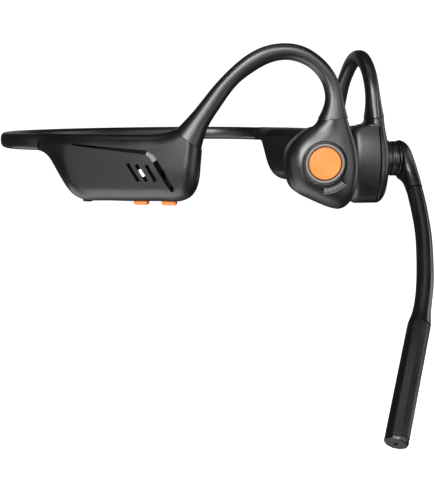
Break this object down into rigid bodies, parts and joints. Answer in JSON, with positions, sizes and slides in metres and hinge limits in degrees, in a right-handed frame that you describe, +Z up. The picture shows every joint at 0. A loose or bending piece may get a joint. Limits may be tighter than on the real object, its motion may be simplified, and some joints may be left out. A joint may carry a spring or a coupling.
{
  "type": "bone conduction headphones",
  "caption": "Open-ear bone conduction headset: springy neckband, ear hooks, cheek transducers, control pods and a swinging boom microphone.",
  "frame": {"origin": "midway between the crests of the two ear hooks, where they lie on the wearer's ears", "axes": "+X forwards, the way the wearer looks, along the headset's longest side; +Y to the wearer's left; +Z up"},
  "size_m": [0.1737, 0.1266, 0.1147],
  "materials": {
    "housing": "satin moulded ABS and polycarbonate, soft-touch",
    "inner_housing": "matt moulded plastic",
    "silicone": "satin overmoulded silicone",
    "skin_pad": "matt silicone",
    "rubber": "matt",
    "orange_buttons": "satin, concentric grooves",
    "grey_ring": "satin grey metallic",
    "grey_grille": "ribbed, satin",
    "steel": "stamped stainless steel",
    "nickel": "nickel-plated magnet",
    "copper": "enamelled copper winding",
    "spring_wire": "drawn titanium alloy wire",
    "circuit_board": "solder resist on glass-fibre board",
    "foil_cell": "laminated foil pouch",
    "vent_mesh": "fine woven vent mesh",
    "light_pipe": "clear polycarbonate"
  },
  "bodies": {
    "headset": {"battery_board": "circuit_board", "battery_cell": "foil_cell", "boom_hub_collar": "housing", "button_ring": "grey_ring", "charging_port_cover": "rubber", "charging_socket": "steel", "left_contact_pad": "skin_pad", "left_ear_hook": "silicone", "left_hook_wire": "spring_wire", "left_magnet": "nickel", "left_pod_inner_shell": "housing", "left_pod_outer_shell": "housing", "left_spring_plate": "steel", "left_transducer_drum": "inner_housing", "left_transducer_shell": "housing", "left_voice_coil": "copper", "left_yoke": "steel", "main_circuit_board": "circuit_board", "multifunction_switch": "steel", "neckband_sleeve": "silicone", "neckband_wire": "spring_wire", "radio_shield_can": "steel", "right_contact_pad": "skin_pad", "right_ear_hook": "silicone", "right_hook_wire": "spring_wire", "right_magnet": "nickel", "right_pod_inner_shell": "housing", "right_pod_outer_shell": "housing", "right_spring_plate": "steel", "right_transducer_drum": "inner_housing", "right_transducer_shell": "housing", "right_voice_coil": "copper", "right_yoke": "steel", "status_light_pipe": "light_pipe", "vent_grille": "grey_grille", "vent_membrane": "vent_mesh", "volume_down_switch": "steel", "volume_up_switch": "steel"},
    "boom": {"boom_arm": "housing", "boom_cable": "rubber", "boom_elbow": "housing", "boom_hub_disc": "housing", "boom_pivot_pin": "steel", "mic_barrel": "housing", "mic_capsule": "steel", "mic_circuit_board": "circuit_board", "mic_end_cap": "housing", "pivot_retaining_ring": "steel"},
    "multifunction_key": {"multifunction_button": "orange_buttons"},
    "volume_up_key": {"volume_up_button": "orange_buttons"},
    "volume_down_key": {"volume_down_button": "orange_buttons"}
  },
  "joints": [
    {"name": "boom_swing", "type": "hinge", "parent": "headset", "child": "boom", "pos_m": [0.0094, 0.01393, -0.0344], "axis": [-0.6691, -0.7431, 0], "range_deg": [-45, 95]},
    {"name": "multifunction_press", "type": "slide", "parent": "headset", "child": "multifunction_key", "axis": [-0.6691, 0.7431, 0], "range_m": [0, 0.0005], "stiffness_N_per_m": 2000, "springref_m": -0.0004},
    {"name": "volume_up_press", "type": "slide", "parent": "headset", "child": "volume_up_key", "axis": [0, 0, 1], "range_m": [0, 0.0005], "stiffness_N_per_m": 2000, "springref_m": -0.0004},
    {"name": "volume_down_press", "type": "slide", "parent": "headset", "child": "volume_down_key", "axis": [0, 0, 1], "range_m": [0, 0.0005], "stiffness_N_per_m": 2000, "springref_m": -0.0004}
  ]
}
